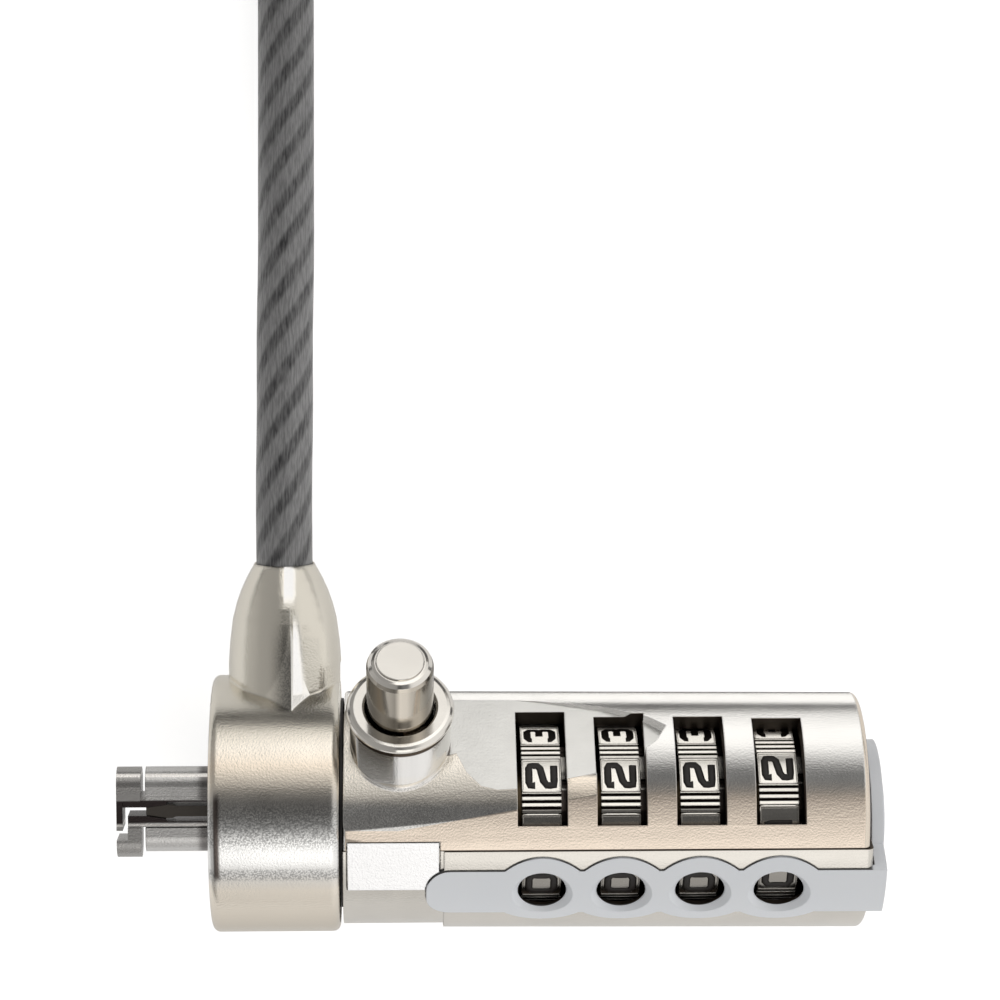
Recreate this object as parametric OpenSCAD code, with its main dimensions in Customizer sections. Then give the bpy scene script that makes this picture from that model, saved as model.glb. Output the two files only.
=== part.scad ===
// Combination cable lock for the security slot of a laptop.
// Origin: centre of the steel nose in the plane of the collar's front face.
// +X runs along the barrel to its end cap, +Y towards the cable, +Z up from the table.
// The round casting that holds the cable is called the collar, and the barrel turns in it.

/* [Collar] */
// Radius of the collar
collar_r = 10.3; // [9.8:0.1:11]
// Length of the collar along the barrel
collar_len = 10.2; // [9.8:0.1:11]
// Rounding of the collar's two rims
collar_round = 0.6; // [0.3:0.1:0.8]
// Height of the collar's axis above the nose's, towards the cable
collar_y = 0.45; // [0:0.05:0.6]

/* [Cable boss] */
// Distance from the collar's front face to the boss's axis
boss_x = 5.8; // [5.4:0.1:6]
// Radius of the boss where it meets the collar
boss_r = 4.5; // [4:0.1:4.6]
// Height of the boss's mouth above the nose's axis
boss_top = 19.95; // [17:0.05:24]
// Height of the knife-edged keel above the collar
keel_rise = 0.55; // [0.3:0.05:0.7]

/* [Barrel] */
// Outer radius of the barrel
shell_r = 9.46; // [9.3:0.02:9.8]
// Where the barrel's front face is
shell_front = 10.5; // [10.4:0.05:10.8]
// Where the upper shell ends
shell_end = 51.8; // [51.6:0.1:53]
// Droop of the barrel's outside towards the end cap, in degrees
shell_droop = 0.4; // [0:0.1:0.6]
// Turn of the seam between the two shells from straight up, in degrees
seam_turn = 9.5; // [5:0.5:12]
// Height of the flat behind the button, from the barrel's axis
flat_h = 8.1; // [8.05:0.05:8.3]

/* [Button] */
// Place of the button along the barrel
button_x = 15; // [14.9:0.1:15.6]
// Lean of the button from straight up towards the cable, in degrees
button_lean = 47; // [40:1:52]
// Radius of the button
button_r = 2.6; // [2.2:0.02:2.7]
// Radius of the tower that the button stands in
tower_r = 3.95; // [3.9:0.05:4.2]
// Height of the tower from the barrel's axis
tower_top = 12.9; // [12:0.1:14]
// Height of the button from the barrel's axis
button_top = 19.35; // [17.5:0.05:21]
// How far the button is pressed
button_travel = 2.4; // [1.5:0.1:2.4]

/* [Number wheels] */
// Place of the first wheel's middle
wheel_x = 26.1; // [25.9:0.1:26.3]
// Step from one wheel to the next
wheel_step = 6.23; // [6.2:0.01:6.26]
// Radius of a number wheel
wheel_r = 7.35; // [7:0.05:7.4]
// Width of a number wheel
wheel_w = 3.1; // [2.6:0.05:3.1]
// Angle of one raised number panel
panel_angle = 22; // [18:1:24]
// Depth of the grip grooves between the panels
groove_depth = 0.5; // [0.3:0.05:0.7]
// How far the last wheel is turned past its click, in degrees
last_wheel_turn = 4.5; // [0:0.5:5]

/* [Nose] */
// Height of the steel nose, which fills the slot from end to end
nose_h = 6.9; // [6.5:0.05:6.9]
// Thickness of the nose, which fills the slot's width
nose_t = 2.8; // [2.5:0.05:2.9]
// Length of the two fixed prongs in front of the collar
prong_len = 5.45; // [5:0.05:5.6]
// Length of the nose with its hooks
nose_len = 7.76; // [7.6:0.02:8]

/* [Cable] */
// Diameter of the cable over its sheath
cable_d = 4.5; // [4.3:0.1:4.6]
// Radius of the coil's outermost turn
coil_r = 33.5; // [33:0.1:35]
// Step between neighbouring turns and layers
coil_step = 4.95; // [4.95:0.01:5.1]
// Number of turns in the coil
coil_turns = 10.5; // [10.5]
// Inside length of the anchor eye
eye_len = 36; // [30:1:38]
// Width of the anchor eye between its centrelines
eye_w = 27; // [24:1:28]

/* [Hidden] */
$fn = 64;
far = 100;
fit = 0.05;

// Centre of the number wheels, a little towards the dial side of the barrel
wheel_y = -0.7;
wheel_z = 0.7;
cavity_r = wheel_r + 0.25;
wheels = [for (i = [0:3]) wheel_x + i * wheel_step];

// Lean of the number at the round windows, and of the click springs four numbers on
number_turn = 33.8;
click_turn = number_turn + 4 * 36;

// Neck of the chassis that the collar turns on
neck_r = 6;
clip_pocket_r = 7.4;
clip_t = 0.6;
clip_x = 0.35;

// Nose: the gap between the prongs, and the two hooked claws in it
prong_gap = 1.3;
claw_out = 1.24;
claw_in = 0.8;
claw_z = 1.15;
hook_rear = prong_len + 0.35;
pivot_x = 7;
pivot_y = 2;
claw_angle = 1.2;
spindle_travel = 1.6;
wedge_tip = -5.4;
wedge_thin = 0.3;
wedge_thick = wedge_thin + sin(claw_angle) * (pivot_x + 4.6);
wedge_gap = 0.05;

// Locking spindle
rod_r = 2.5;
fin_r = 3.5;
fin_w = 1.1;
fin_len = 1.2;
fin_back = 1.9;
cam_r = 4.3;
cam_x = 13.2;
cam_end = 18.8;
ramp = spindle_travel / button_travel;
ramp_h = 4.4;
ramp_x = button_x - 0.9;
rod_end = 48.1;
tail_end = 48.7;
bushing_end = 50.4;

// End cap
cap_plate_end = 53.2;
cap_boss_end = 53.6;
cap_r = 6.1;
cap_boss_r = 3.8;

// Window trim, an upright strip that wraps the barrel's dial side
trim_turn = 33.85;
trim_half = 2.29;
trim_front = 17;
trim_t = 0.55;
trim_proud = 0.1;
arc_r = 4.53;
arc_low = 1.16;
eyelet_r = 1.9;

// Rectangular windows: their lean, lower edge, upper edges and width
window_turn = 33;
window_low = -4.8;
window_high = [5.3, 4.8, 4.4, 4.2];
window_w = 3.92;

// Floor that the lock and its cable lie on
floor_z = -collar_r;

// Puts a shape that stands along +Z onto the barrel's axis, with its foot at x
module along_x(x = 0, y = 0, z = 0) {
    translate([x, y, z]) rotate([0, 90, 0]) children();
}

// Turns +Z towards the cable by an angle, about the barrel's axis
module leaning(angle) {
    rotate([-angle, 0, 0]) children();
}

// Disc or rod along the barrel
module rod(x0, x1, r, y = 0, z = 0) {
    along_x(x0, y, z) cylinder(h = x1 - x0, r = r);
}

// Outline of the nose seen from the front: a flat bar with round ends
module nose_outline(h) {
    square([nose_t, h - nose_t], center = true);
    for (s = [-1, 1]) translate([0, s * (h - nose_t) / 2]) circle(d = nose_t);
}

// Bar with the nose's outline between two places along the barrel
module nose_bar(x0, x1, h) {
    along_x(x0) linear_extrude(x1 - x0) nose_outline(h);
}

// Box given by two opposite corners
module block(a, b) {
    translate(a) cube(b - a);
}

// ---------- collar with its cable boss ----------

module collar_profile() {
    r = collar_round;
    difference() {
        square([collar_r, collar_len]);
        for (y = [0, collar_len - r]) translate([collar_r - r, y]) square(r);
    }
    for (y = [r, collar_len - r]) translate([collar_r - r, y]) circle(r, $fn = 32);
}

// Half outline of the boss: a slowly swelling cone under a domed mouth
module boss_profile() {
    top = boss_top;
    polygon([
        [0, 3], [boss_r, 3], [boss_r, top - 7.9], [boss_r - 0.12, top - 6.2],
        [boss_r - 0.35, top - 4.4], [boss_r - 0.66, top - 3.2], [boss_r - 1.0, top - 2.2],
        [boss_r - 1.45, top - 1.2], [boss_r - 1.8, top - 0.55], [boss_r - 2.0, top - 0.2],
        [cable_d / 2 + 0.15, top], [0, top]
    ]);
}

// Keel that runs down each face of the boss to a point on the collar, steeper on the barrel's side
module keel() {
    crest_x = boss_x + 0.65;
    polyhedron(
        points = [
            [crest_x - 0.1, boss_top - 3, boss_r - 0.74], [crest_x, 8.9, boss_r + 0.75 + keel_rise],
            [boss_x - 2.9, 9.4, boss_r - 1], [boss_x + 2.3, 9.4, boss_r - 0.6],
            [boss_x, 8.6, 1], [boss_x, boss_top - 4, 1]
        ],
        faces = [[0, 2, 1], [0, 1, 3], [1, 2, 4], [1, 4, 3], [0, 5, 2], [2, 5, 4], [0, 3, 5], [3, 4, 5]]
    );
}

module swivel_collar() {
    color([0.78, 0.75, 0.7]) difference() {
        union() {
            translate([0, collar_y, 0]) along_x() rotate_extrude() collar_profile();
            translate([boss_x, 0, 0]) rotate([-90, 0, 0]) rotate_extrude() boss_profile();
            keel();
            mirror([0, 0, 1]) keel();
        }
        translate([0, collar_y, 0]) rod(-1, collar_len + 1, neck_r);
        translate([0, collar_y, 0]) rod(-1, clip_x + clip_t + 0.1, clip_pocket_r);
        translate([boss_x, 0, 0]) rotate([-90, 0, 0]) cylinder(h = far, r = cable_d / 2 + 0.12);
        translate([boss_x, 0, 0]) rotate([-90, 0, 0]) cylinder(h = 11, r = 3.1);
        block([collar_len, -20, -20], [collar_len + 2, 12, 20]);
    }
}

// Crimped plug that keeps the cable's end from pulling out of the boss
module cable_ferrule() {
    color([0.6, 0.6, 0.62]) translate([boss_x, 0, 0]) rotate([-90, 0, 0]) difference() {
        translate([0, 0, neck_r + collar_y + 0.4]) cylinder(h = 10.9 - neck_r - collar_y - 0.4, r = 3.05);
        translate([0, 0, 8]) cylinder(h = 4, r = cable_d / 2);
    }
}

// ---------- cable ----------

// Route of the free cable from inside the boss to the coil: out, down to the floor and along it
cable_low = floor_z + cable_d / 2;
coil_y = 108;
cable_route = [
    [5.8, 8, 0], [5.8, 14, 0], [5.8, 20, 0], [5.8, 26, -0.2], [5.9, 32, -0.7], [5.9, 38, -1.7],
    [6, 44, -2.9], [6, 50, -4.2], [6, 56, -5.5], [6, 62, -6.6], [6, 68, -7.4], [6, 74, -7.9],
    [6, 80, cable_low], [6, 88, cable_low], [6, 96, cable_low], [6, 103, cable_low]
];

function unit(v) = v / norm(v);
// Direction of a route at one of its points
function heading(p, i) = i == 0 ? unit(p[1] - p[0])
    : i == len(p) - 1 ? unit(p[i] - p[i - 1]) : unit(p[i + 1] - p[i - 1]);
// Ring of points round a route, square to it
function ring(p, i, r, n) =
    let (t = heading(p, i), side = unit(cross(t, [0, 0, 1])), up = cross(side, t))
    [for (k = [0:n - 1]) p[i] + r * (cos(360 * (k + 0.5) / n) * side + sin(360 * (k + 0.5) / n) * up)];

// Closed tube of n sides along a route
module tube(p, r, n) {
    last = len(p) - 1;
    points = [for (i = [0:last]) each ring(p, i, r, n)];
    walls = [for (i = [0:last - 1], k = [0:n - 1], half = [0, 1])
        let (a = i * n + k, b = i * n + (k + 1) % n)
        half == 0 ? [a, a + n, b] : [b, a + n, b + n]];
    start_cap = [for (k = [1:n - 2]) [0, k, k + 1]];
    end_cap = [for (k = [1:n - 2]) [last * n, last * n + k + 1, last * n + k]];
    polyhedron(points = points, faces = concat(walls, start_cap, end_cap));
}

module cable() {
    color([0.3, 0.3, 0.32]) tube(cable_route, cable_d / 2, 10);
}

// Coil: turns spiral in and out again over four layers, and climb in the half turn at each reversal
coil_x = 6 + coil_r;
layer_turns = coil_turns / 4;
tail_r = 18;
tail_turn = 110;
tail_lift = 5.6;

function smooth(a, b, t) = let (u = min(max((t - a) / (b - a), 0), 1)) u * u * (3 - 2 * u);
function turn_radius(t) =
    let (m = t / layer_turns, k = floor(m), part = m - k)
    coil_r - coil_step * layer_turns * (k % 2 == 0 ? part : 1 - part);
function turn_height(t) = cable_low
    + coil_step * (smooth(0, 1, (t - layer_turns + 0.25) * 2)
                 + smooth(0, 1, (t - 2 * layer_turns + 0.25) * 2)
                 + smooth(0, 1, (t - 3 * layer_turns + 0.25) * 2))
    + tail_lift * smooth(coil_turns - 0.3, coil_turns, t);
function coil_point(t) =
    let (a = 180 - 360 * t, r = turn_radius(t))
    [coil_x + r * cos(a), coil_y + r * sin(a), turn_height(t)];

// The end turns in tighter and lies across the coil
coil_end_angle = 180 - 360 * coil_turns;
tail_x = coil_x + (coil_r - tail_r) * cos(coil_end_angle);
tail_y = coil_y + (coil_r - tail_r) * sin(coil_end_angle);
tail_z = turn_height(coil_turns);
coil_path = concat(
    [[6, 103, cable_low], [6, coil_y - 0.2, cable_low]],
    [for (k = [1:24 * coil_turns]) coil_point(k / 24)],
    [for (k = [1:8]) let (a = coil_end_angle - k * tail_turn / 8)
        [tail_x + tail_r * cos(a), tail_y + tail_r * sin(a), tail_z]],
    [[tail_x - 5, tail_y - tail_r, tail_z]]
);
// Least gap between turns of the coil, from points at least half a turn apart
last_ring = len(coil_path) - 1;
coil_gap = min([for (i = [0:last_ring - 12]) each [for (j = [i + 12:last_ring]) norm(coil_path[i] - coil_path[j])]])
    - cable_d;
echo(coil_gap = coil_gap);

module cable_coil() {
    color([0.3, 0.3, 0.32]) tube(coil_path, cable_d / 2, 6);
}

// Oval sleeve that clamps the returned end beside the cable
sleeve_x = tail_x - 5;
sleeve_len = 14;
sleeve_y = tail_y - tail_r - cable_d / 2 - 0.1;

module eye_crimp_sleeve() {
    w = cable_d + 0.2;
    color([0.72, 0.72, 0.73]) difference() {
        translate([sleeve_x - sleeve_len, sleeve_y, tail_z]) along_x() linear_extrude(sleeve_len) {
            square([6, w], center = true);
            for (s = [-1, 1]) translate([0, s * w / 2]) circle(3);
        }
        for (x = [3.5, 7, 10.5], s = [-1, 1])
            translate([sleeve_x - x, sleeve_y, tail_z + s * 3.4]) rotate([90, 0, 0])
                cylinder(h = 20, r = 0.9, center = true);
    }
}

// Anchor eye: the cable runs on as a loop wide enough to pass the lock through
eye_path = let (x0 = sleeve_x - sleeve_len, half = cable_d / 2 + 0.1, bow = eye_w / 2) concat(
    [[x0, sleeve_y + half, tail_z], [x0 - 4.5, sleeve_y + half, tail_z]],
    [for (a = [90:-15:-90])
        let (reach = eye_len - bow)
        [x0 - reach - bow * cos(a), sleeve_y + bow * sin(a), tail_z]],
    [[x0 - 4.5, sleeve_y - half, tail_z], [x0, sleeve_y - half, tail_z]]
);

module anchor_eye() {
    color([0.3, 0.3, 0.32]) tube(eye_path, cable_d / 2, 8);
}

// ---------- chassis and nose ----------

// Rod along the two screws that hold the lower shell, from one height to another
screw_turn = -135;
screw_x = [11.5, bushing_end - 0.95];
module screw_rod(r, h0, h1) {
    for (x = screw_x) leaning(screw_turn) translate([x, 0, h0]) cylinder(h = h1 - h0, r = r);
}

module front_chassis() {
    color([0.66, 0.64, 0.6]) difference() {
        union() {
            rod(0.15, shell_front, neck_r - fit, collar_y);
            rod(shell_front, 12.4, cavity_r - fit, wheel_y, wheel_z);
            rod(12.4, 21.4, 6.6, wheel_y, wheel_z);
        }
        // groove for the clip
        difference() {
            rod(clip_x - fit, clip_x + clip_t + fit, neck_r + 1, collar_y);
            rod(0, 2, 5.3, collar_y);
        }
        // pocket for the prongs' block, then room for the claws and their eyes
        block([-1, -nose_h / 2 - fit, -2.25], [4.65, nose_h / 2 + fit, 2.25]);
        block([4.6, -3.6, -1.3], [9.6, 3.6, 1.3]);
        block([9, -0.8, -1.15], [14, 0.8, 1.15]);
        for (s = [-1, 1]) translate([pivot_x, s * pivot_y, 0]) cylinder(h = 7, r = 0.45, center = true);
        screw_rod(0.75, 5.4, 12);
        // cam chamber, and the button's way in
        rod(12.9, 22, cam_r + 0.25, wheel_y, wheel_z);
        leaning(button_lean) translate([button_x, 0, 0]) cylinder(h = 12, r = 1.85);
        leaning(button_lean) translate([button_x, 0, 5.9]) cylinder(h = 12, r = 3.5);
    }
}

// Steel block with the two fixed prongs that fill the slot
module nose_prongs() {
    color([0.4, 0.39, 0.38]) difference() {
        union() {
            nose_bar(-prong_len, 1, nose_h);
            block([0.25, -nose_h / 2, -2.2], [4.6, nose_h / 2, 2.2]);
        }
        block([-9, -prong_gap, -5], [0.25, prong_gap, 5]);
        block([-9, -prong_gap, -1.25], [9, prong_gap, 1.25]);
    }
}

// Open ring in the neck's groove that holds the collar on
module collar_clip() {
    color([0.5, 0.5, 0.52]) translate([0, collar_y, 0]) difference() {
        rod(clip_x, clip_x + clip_t, 7.1);
        rod(-1, 2, 5.35);
        block([-1, -8, -1.6], [2, 0, 1.6]);
    }
}

// Thin slip washer between the collar and the barrel
module swivel_washer() {
    color([0.12, 0.12, 0.12]) translate([0, collar_y, 0]) difference() {
        rod(collar_len + fit, shell_front - fit, 8.4);
        rod(9, 12, neck_r + 0.1);
    }
}

// The two pins that the claws turn on
module claw_pins() {
    color([0.55, 0.55, 0.57]) for (s = [-1, 1]) translate([pivot_x, s * pivot_y, 0])
        cylinder(h = 6.8, r = 0.45, center = true);
}

// One claw, drawn as the upper one. The hook and its reach differ from claw to claw.
module claw_arm() {
    slope = (wedge_thick - wedge_thin) / spindle_travel;
    difference() {
        union() {
            block([-hook_rear, claw_in, -claw_z], [5, claw_out, claw_z]);
            // pad that the wedge presses on
            translate([0, 0, -claw_z]) linear_extrude(2 * claw_z) polygon([
                [-hook_rear, claw_out], [-hook_rear, wedge_thin + wedge_gap],
                [wedge_tip, wedge_thin + wedge_gap],
                [wedge_tip + spindle_travel, wedge_thick + wedge_gap],
                [wedge_tip + spindle_travel + 0.3, claw_out]
            ]);
            // arm widens into the eye round its pin
            block([4.7, claw_in, -claw_z], [pivot_x, pivot_y + 0.6, claw_z]);
            translate([pivot_x, pivot_y, -claw_z]) cylinder(h = 2 * claw_z, r = 1.2);
        }
        translate([pivot_x, pivot_y, 0]) cylinder(h = 5, r = 0.45 + fit, center = true);
        translate([4.7, claw_out + 0.9, 0]) cylinder(h = 5, r = 0.9, center = true);
    }
}

module claw_upper() {
    color([0.36, 0.35, 0.34]) {
        claw_arm();
        intersection() {
            nose_bar(-nose_len, -hook_rear, nose_h);
            union() {
                block([-nose_len, claw_in, -5], [-hook_rear, 5, 5]);
                block([-nose_len, -1.5, -5], [-nose_len + 0.5, 5, 5]);
                block([-nose_len, wedge_thin + wedge_gap, -claw_z], [-hook_rear, 1, claw_z]);
            }
        }
    }
}

module claw_lower() {
    color([0.36, 0.35, 0.34]) {
        mirror([0, 1, 0]) claw_arm();
        intersection() {
            translate([0, -0.45, 0]) nose_bar(-nose_len, -hook_rear, nose_h);
            union() {
                block([-nose_len + 0.9, -5, -5], [-hook_rear, -1.3, 5]);
                block([-nose_len, -5, -5], [-hook_rear, -2.3, 5]);
                block([-nose_len + 0.9, -2, -claw_z], [-hook_rear, -wedge_thin - wedge_gap, claw_z]);
            }
        }
    }
}

// ---------- locking spindle and button ----------

// Half space in front of the ramp, from a height up, along the button's lean
module before_ramp(slack, low) {
    leaning(button_lean) rotate([90, 0, 0]) translate([0, 0, -20]) linear_extrude(40)
        polygon([
            [ramp_x + ramp * (low - ramp_h) - slack, low], [ramp_x + ramp * (30 - ramp_h) - slack, 30],
            [-30, 30], [-30, low]
        ]);
}

module locking_spindle() {
    color([0.62, 0.6, 0.55]) {
        // flat blade whose tip wedges the claws apart
        for (s = [0, 1]) mirror([0, s, 0]) translate([0, 0, -1]) linear_extrude(2) polygon([
            [wedge_tip, -0.1], [wedge_tip, wedge_thin], [wedge_tip + spindle_travel, wedge_thick],
            [wedge_tip + spindle_travel + 0.5, wedge_thick], [wedge_tip + spindle_travel + 0.8, 0.42],
            [cam_x + 0.4, 0.42], [cam_x + 0.4, -0.1]
        ]);
        // cam that the button's chisel end pushes back
        difference() {
            rod(cam_x, cam_end, cam_r, wheel_y, wheel_z);
            before_ramp(-fit, 1.9);
        }
        rod(cam_end - 0.1, rod_end, rod_r, wheel_y, wheel_z);
        rod(rod_end - 0.1, tail_end, 1.2, wheel_y, wheel_z);
        for (x = wheels) translate([x - fin_back, wheel_y, wheel_z]) leaning(-trim_turn)
            translate([0, -fin_w / 2, 0]) cube([fin_len, fin_w, fin_r]);
    }
}

module push_button() {
    color([0.82, 0.81, 0.8]) intersection() {
        leaning(button_lean) translate([button_x, 0, 0]) rotate_extrude() polygon([
            [0, ramp_h], [1.6, ramp_h], [1.6, 8.6], [3.2, 8.6], [3.2, 9.4], [button_r, 9.4],
            [button_r, button_top - 0.75], [button_r - 0.12, button_top - 0.42],
            [button_r - 0.4, button_top - 0.2], [button_r - 0.62, button_top - 0.14],
            [button_r - 0.72, button_top - 0.14], [button_r - 0.74, button_top - 0.04],
            [button_r - 0.8, button_top], [0, button_top]
        ]);
        union() {
            before_ramp(0, 0);
            leaning(button_lean) block([0, -far, 8.5], [30, far, far]);
        }
    }
}

// ---------- the two half shells ----------

// Outside of the barrel: a tube with rounded ends that droops a little towards its end cap
module barrel_solid(x1, r) {
    rotate([0, 0, -shell_droop]) along_x(shell_front) rotate_extrude() {
        len_x = x1 - shell_front;
        difference() {
            square([r, len_x]);
            translate([r - 0.5, len_x - 0.5]) square(1);
            translate([r - 0.25, -0.75]) square(1);
        }
        translate([r - 0.5, len_x - 0.5]) circle(0.5, $fn = 32);
        translate([r - 0.25, 0.25]) circle(0.25, $fn = 32);
    }
}

// Half space on the cable's side of the seam (1), or on the other side (-1), with a gap beyond it
module seam_side(s, gap) {
    leaning(-seam_turn) translate([-far, s > 0 ? -gap : gap - 2 * far, -far]) cube(2 * far);
}

module wheel_cavity() {
    rod(shell_front - 1, shell_end - 0.9, cavity_r, wheel_y, wheel_z);
    rod(shell_end - 1, shell_end + 2, cap_r - 0.3, wheel_y, wheel_z);
}

// The four upright windows over the number wheels
module windows() {
    for (i = [0:3]) leaning(window_turn) translate([wheels[i] - window_w / 2, window_low, 0])
        cube([window_w, window_high[i] - window_low, 20]);
}

// Flat behind the button: a blade shape that narrows to a point above the second window
module flat_outline() {
    polygon([
        [button_x, -2.6], [19.4, -1.3], [20.2, -2.9], [21.3, -3.95], [22.6, -4.25], [24.4, -4.2],
        [28.4, -3.5], [30.8, -3.05], [33.2, -1.9], [35.2, -0.3], [36, 1.2], [34.6, 2.2], [31, 3.55],
        [26, 4.35], [21.8, 4.85], [button_x, 5.1]
    ]);
}

// What the flat takes away
module flat_cut() {
    leaning(47.5) translate([0, 0, flat_h]) linear_extrude(20) flat_outline();
}

// Face of the upper shell round the foot of the tower: it bends less than the barrel, and meets it in a crease
// that climbs away from the collar and fades out
module broad_face() {
    translate([11.1, -3.62, -5.07]) rotate([0, 90, 3.9]) cylinder(h = 150, r = 15, center = true, $fn = 128);
}

// Solid ring of the barrel's skin down to a depth
module skin(depth) {
    difference() {
        rod(shell_front, shell_end + 1, shell_r + 3);
        rotate([0, 0, -shell_droop]) rod(shell_front - 5, shell_end + 5, shell_r - depth);
    }
}

module upper_shell() {
    color([0.8, 0.77, 0.72]) difference() {
        union() {
            difference() {
                intersection() {
                    barrel_solid(shell_end, shell_r);
                    broad_face();
                }
                flat_cut();
            }
            leaning(button_lean) translate([button_x, 0, 6]) cylinder(h = tower_top - 6, r = tower_r);
        }
        seam_side(-1, 0.03);
        wheel_cavity();
        comb_pocket();
        windows();
        key_pocket(0.1);
        leaning(button_lean) translate([button_x, 0, 0]) cylinder(h = 20, r = button_r + 0.2);
        leaning(button_lean) translate([button_x, 0, 0]) cylinder(h = 9.5, r = 3.35);
    }
}

// Ring pressed onto the tower, round the button
module button_bezel() {
    r = tower_r + 0.25;
    color([0.85, 0.84, 0.82]) leaning(button_lean) translate([button_x, 0, tower_top]) rotate_extrude()
        polygon([
            [button_r + 0.2, 0], [r - 0.15, 0], [r, 0.15], [r, 0.32], [r - 0.1, 0.5], [r - 0.3, 0.62],
            [r - 0.55, 0.66], [button_r + 0.35, 0.66], [button_r + 0.2, 0.55]
        ]);
}

// Pocket of the key at the front end of the seam, and the key itself
module key_pocket(slack) {
    intersection() {
        leaning(-18.3) block([shell_front + 0.35 - slack, -2.12 - slack, 5], [18 + slack, 2.12 + slack, 20]);
        difference() {
            rod(shell_front, 20, shell_r + 5);
            rod(shell_front - 1, 21, cavity_r + 0.3 - slack, wheel_y, wheel_z);
        }
    }
}

module seam_key() {
    color([0.86, 0.84, 0.8]) intersection() {
        key_pocket(0);
        barrel_solid(shell_end, shell_r - 0.02);
        difference() {
            rod(shell_front, 20, 20);
            trim_groove(0.1);
        }
    }
}

// Outline of the window trim, seen square to the round windows, or of its groove with some slack
module trim_outline(slack = 0) {
    half = trim_half + slack;
    corner = 1.9 + slack;
    x_round = trim_front + 1.9;
    translate([x_round, -half]) square([shell_end + 5 - x_round, 2 * half]);
    translate([x_round - corner, corner - half]) square([corner, 2 * (half - corner)]);
    for (s = [-1, 1]) translate([x_round, s * (half - corner)]) circle(corner);
    for (x = wheels, s = [-1, 1]) intersection() {
        translate([x, -s * arc_low]) circle(arc_r + slack);
        translate([x - 2 * arc_r, s > 0 ? 0 : -4 * arc_r]) square(4 * arc_r);
    }
}

// Groove that the trim lies in, and the trim's strip
module trim_groove(slack) {
    intersection() {
        leaning(-trim_turn) linear_extrude(30) trim_outline(slack);
        skin(trim_t - trim_proud);
    }
}

module lower_shell() {
    color([0.8, 0.77, 0.72]) difference() {
        barrel_solid(shell_end + 0.3, shell_r);
        // the front end is a little slimmer, up to the step at the key
        difference() {
            rod(shell_front - 1, 18.4, shell_r + 3);
            rod(shell_front - 2, 20, shell_r - 0.2);
        }
        seam_side(1, 0.03);
        wheel_cavity();
        comb_pocket();
        key_pocket(0.1);
        trim_groove(0.06);
        for (x = wheels) leaning(-trim_turn) translate([x, 0, 0]) cylinder(h = 20, r = eyelet_r + 0.4);
        screw_rod(0.85, 5, 12);
        screw_rod(1.25, 8.1, 12);
    }
}

// Where the end cap's plate starts, clear of the shells' drooping ends
cap_front = shell_end + 0.45;

// Pale strip with four round windows that runs over the end and becomes the end cap
module dial_window_trim() {
    color([0.68, 0.72, 0.78]) difference() {
        union() {
            intersection() {
                leaning(-trim_turn) linear_extrude(30) trim_outline();
                difference() {
                    rotate([0, 0, -shell_droop]) rod(shell_front, cap_plate_end, shell_r + trim_proud);
                    rotate([0, 0, -shell_droop]) rod(shell_front - 5, cap_front, shell_r - trim_t + trim_proud);
                }
            }
            rod(cap_front, cap_plate_end, cap_r, wheel_y, wheel_z);
            rod(cap_front, cap_boss_end, cap_boss_r, wheel_y, wheel_z);
            intersection() {
                leaning(-trim_turn) block([cap_front, -trim_half, 0], [cap_plate_end, trim_half, 20]);
                rod(shell_end, cap_plate_end, shell_r - 0.3);
            }
            rod(shell_end - 0.8, shell_end + 0.5, cap_r - 0.4, wheel_y, wheel_z);
        }
        for (x = wheels) leaning(-trim_turn) translate([x, 0, 0]) {
            cylinder(h = 20, r = eyelet_r);
            translate([0, 0, shell_r - 0.35]) cylinder(h = 1, r1 = eyelet_r, r2 = eyelet_r + 0.9);
        }
        rod(shell_end - 2, cap_boss_end + 1, 2.55, wheel_y, wheel_z);
    }
}

// ---------- number wheels and what holds them ----------

// A wheel's ring: ten number panels with three grip ribs between each two
module number_ring() {
    gap = 36 - panel_angle;
    rib = gap / 7;
    difference() {
        circle(wheel_r);
        circle(4.4);
        for (i = [0:9], k = [0:3])
            rotate(i * 36 + panel_angle / 2 + rib * (2 * k + 0.5)) translate([wheel_r - groove_depth, 0])
                square([1, 2 * wheel_r * sin(rib / 2)], center = false);
    }
}

// Click plate beside the ring, with one notch for each number
module click_plate() {
    difference() {
        circle(5.6);
        circle(4.4);
        for (i = [0:9]) rotate(i * 36) translate([5.75, 0]) circle(0.55, $fn = 20);
    }
}

module number_wheel(i) {
    turned = i == 3 ? last_wheel_turn : 0;
    color([0.83, 0.81, 0.77]) translate([wheels[i], wheel_y, wheel_z]) leaning(turned - number_turn)
        rotate([0, 90, 0]) {
            translate([0, 0, -wheel_w / 2]) linear_extrude(wheel_w) rotate(180) number_ring();
            translate([0, 0, wheel_w / 2]) linear_extrude(0.8) rotate(180) click_plate();
        }
}

// Sleeve inside a wheel: free room for the spindle's fin, then a web with one gate
module code_sleeve(i) {
    turned = i == 3 ? last_wheel_turn : 0;
    color([0.75, 0.62, 0.35]) translate([wheels[i], wheel_y, wheel_z]) leaning(turned) difference() {
        rod(-2.1, 1.9, 4.4);
        rod(-3, 3, rod_r + fit);
        rod(-3, -0.6, fin_r + 0.2);
        leaning(-trim_turn) translate([-1, -0.95, 0]) cube([4, 1.9, fin_r + 0.15]);
    }
}

// Plates that keep the wheels apart and carry the spindle
module wheel_dividers() {
    color([0.7, 0.68, 0.64]) for (x = [for (w = wheels) w + 3, wheels[0] - 3.2]) difference() {
        rod(x, x + 0.75, cavity_r - fit, wheel_y, wheel_z);
        rod(x - 1, x + 2, rod_r + fit, wheel_y, wheel_z);
        translate([x - 1, wheel_y, wheel_z]) leaning(-trim_turn) translate([0, -0.95, 0]) cube([3, 1.9, fin_r + 0.15]);
    }
}

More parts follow.
